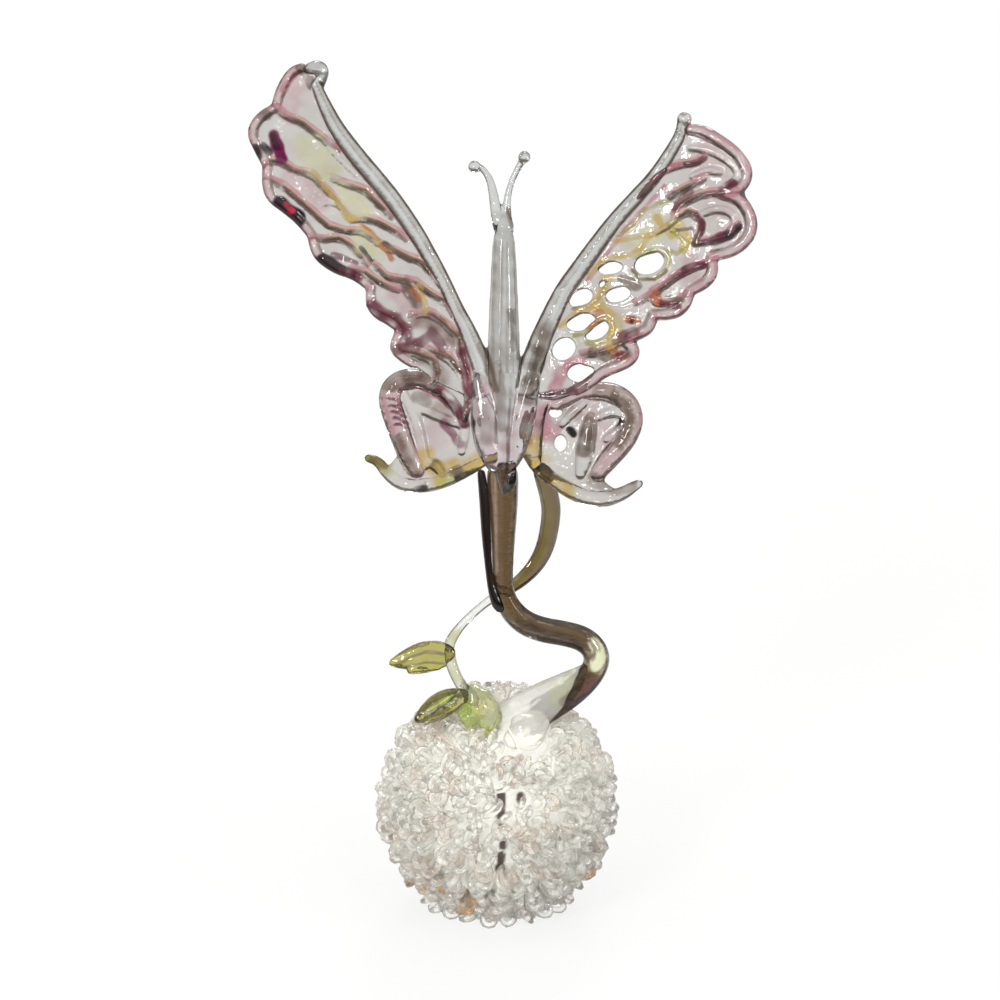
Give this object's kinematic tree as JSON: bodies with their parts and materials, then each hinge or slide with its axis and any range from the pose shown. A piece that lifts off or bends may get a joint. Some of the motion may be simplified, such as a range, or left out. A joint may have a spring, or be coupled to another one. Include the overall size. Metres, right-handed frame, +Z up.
{
  "type": "glass butterfly ornament",
  "caption": "Torch-made glass butterfly with looped lace wings on a twisting stem with a leafy vine, standing on a ball of crocheted glass loops.",
  "frame": {"origin": "centre of the flat foot under the ball of loops", "axes": "+Z up, away from the foot; -Y is the side that the butterfly's back faces; +X is the right wing as seen from there"},
  "size_m": [0.0742, 0.0397, 0.1263],
  "materials": {
    "clear_glass": "clear borosilicate or soft glass rod, faint grey-blue",
    "pink_glass": "clear glass with pink to burgundy streaks",
    "gold_glass": "clear glass with gold and olive stain",
    "amber_glass": "smoky brown rod",
    "dark_glass": "nearly black maroon trail",
    "green_glass": "olive to yellow-green glass",
    "frosted_glass": "clear glass that looks silvery white because of its many small loops"
  },
  "bodies": {
    "root": {"loop_ball_core": "frosted_glass", "loop_row_1": "frosted_glass", "loop_row_2": "frosted_glass", "loop_row_3": "frosted_glass", "loop_row_4": "frosted_glass", "loop_row_5": "frosted_glass", "loop_row_6": "frosted_glass", "loop_row_7": "frosted_glass", "loop_row_8": "frosted_glass", "clear_seat": "frosted_glass", "clear_drop": "clear_glass", "green_knot": "green_glass", "main_stem": "amber_glass", "dark_trail": "dark_glass", "vine": "amber_glass", "upper_leaf": "green_glass", "leaf_stalk": "green_glass", "lower_leaf": "green_glass", "body": "clear_glass", "head": "clear_glass", "left_antenna": "clear_glass", "right_antenna": "clear_glass", "left_root_lobe": "pink_glass", "right_root_lobe": "pink_glass", "left_tip_hook": "clear_glass", "right_twist": "pink_glass", "left_forewing_spar": "clear_glass", "left_forewing_lobe_1": "pink_glass", "left_forewing_lobe_2": "pink_glass", "left_forewing_lobe_3": "pink_glass", "left_forewing_lobe_4": "pink_glass", "left_forewing_lobe_5": "pink_glass", "left_forewing_lobe_6": "pink_glass", "left_forewing_film": "clear_glass", "left_hindwing_loop": "pink_glass", "left_hindwing_fold": "clear_glass", "left_hindwing_film": "clear_glass", "left_hindwing_tail": "gold_glass", "right_forewing_spar": "clear_glass", "right_forewing_lobe_1": "pink_glass", "right_forewing_lobe_2": "pink_glass", "right_forewing_lobe_3": "pink_glass", "right_forewing_lobe_4": "pink_glass", "right_forewing_lobe_5": "pink_glass", "right_forewing_lobe_6": "pink_glass", "right_forewing_film": "clear_glass", "right_hindwing_loop": "pink_glass", "right_hindwing_fold": "clear_glass", "right_hindwing_film": "clear_glass", "right_hindwing_tail": "gold_glass"}
  },
  "joints": []
}
